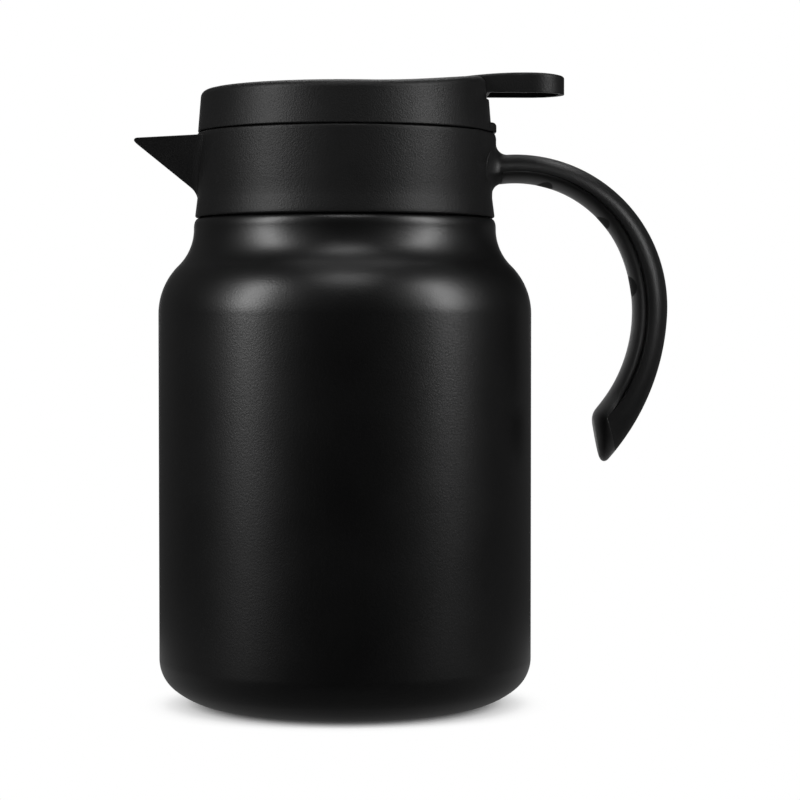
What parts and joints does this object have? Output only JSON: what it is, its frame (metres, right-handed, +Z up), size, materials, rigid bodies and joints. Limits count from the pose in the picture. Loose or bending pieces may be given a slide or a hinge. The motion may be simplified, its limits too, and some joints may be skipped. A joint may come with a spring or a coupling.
{
  "type": "insulated teapot",
  "caption": "Double-walled insulated teapot with a beak spout, an open C-shaped handle and a lift-off lid whose thumb lever opens a sprung pouring valve.",
  "frame": {"origin": "centre of the base's underside, on the body's axis", "axes": "+Z up, +X towards the handle, -X towards the spout"},
  "size_m": [0.1717, 0.12, 0.2036],
  "materials": {
    "body_paint": "satin black powder coat on steel",
    "steel": "plain stainless steel",
    "black_plastic": "fine-grained black moulding",
    "grip_plastic": "smooth soft-touch black",
    "black_rubber": "matte black",
    "silicone": "milky silicone",
    "inner_plastic": "smooth black food-grade plastic",
    "solder_glass": "fused solder glass"
  },
  "bodies": {
    "pot": {"outer_shell": "body_paint", "inner_flask": "steel", "base_cover": "steel", "bottom_pan": "steel", "port_seal": "solder_glass", "getter": "steel", "collar_gasket": "black_rubber", "collar": "black_plastic", "grip_insert": "grip_plastic", "grip_screws": "steel", "grip_plugs": "black_rubber"},
    "lid": {"lid_shell": "black_plastic", "lid_plug": "inner_plastic", "lid_gasket": "silicone", "lid_deck": "inner_plastic", "stem_seal": "silicone", "lid_screws": "steel", "lever_pin": "steel", "valve_spring": "steel"},
    "lever": {"thumb_lever": "black_plastic"},
    "valve": {"valve_stem": "inner_plastic", "valve_seal": "silicone", "valve_disc": "inner_plastic", "stem_clip": "steel", "cross_pin": "steel"}
  },
  "joints": [
    {"name": "lid_lift", "type": "slide", "parent": "pot", "child": "lid", "axis": [0, 0, 1], "range_m": [0, 0.07]},
    {"name": "lever_press", "type": "hinge", "parent": "lid", "child": "lever", "pos_m": [0.034, 0, 0.188], "axis": [0, 1, 0], "range_deg": [0, 8], "stiffness_Nm_per_rad": 0.02, "springref_deg": -20.05},
    {"name": "valve_open", "type": "slide", "parent": "lid", "child": "valve", "axis": [0, 0, 1], "range_m": [0, 0.00475], "deforming": ["valve_spring"]}
  ],
  "couplings": [
    {"joint": "lever_press", "follows": "valve_open", "rad_per_m": 29.412}
  ]
}
